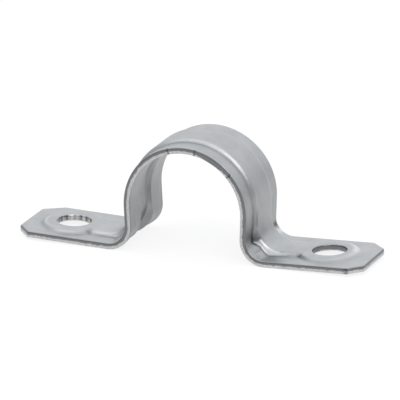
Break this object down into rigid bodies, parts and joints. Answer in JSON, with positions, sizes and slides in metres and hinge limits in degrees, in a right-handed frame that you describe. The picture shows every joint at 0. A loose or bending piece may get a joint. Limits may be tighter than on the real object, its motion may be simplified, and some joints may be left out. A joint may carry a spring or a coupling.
{
  "type": "conduit strap",
  "caption": "One-piece stamped steel strap that holds a round conduit against a wall, with a screw foot on each side and a stiffening rib.",
  "frame": {"origin": "midway between the two heels, on the surface that they stand on", "axes": "+X along the strap from foot to foot, +Y along the conduit, +Z away from the wall"},
  "size_m": [0.0734, 0.017, 0.0234],
  "materials": {
    "zinc_steel": "zinc-plated, satin"
  },
  "bodies": {
    "root": {"conduit_strap": "zinc_steel"}
  },
  "joints": []
}
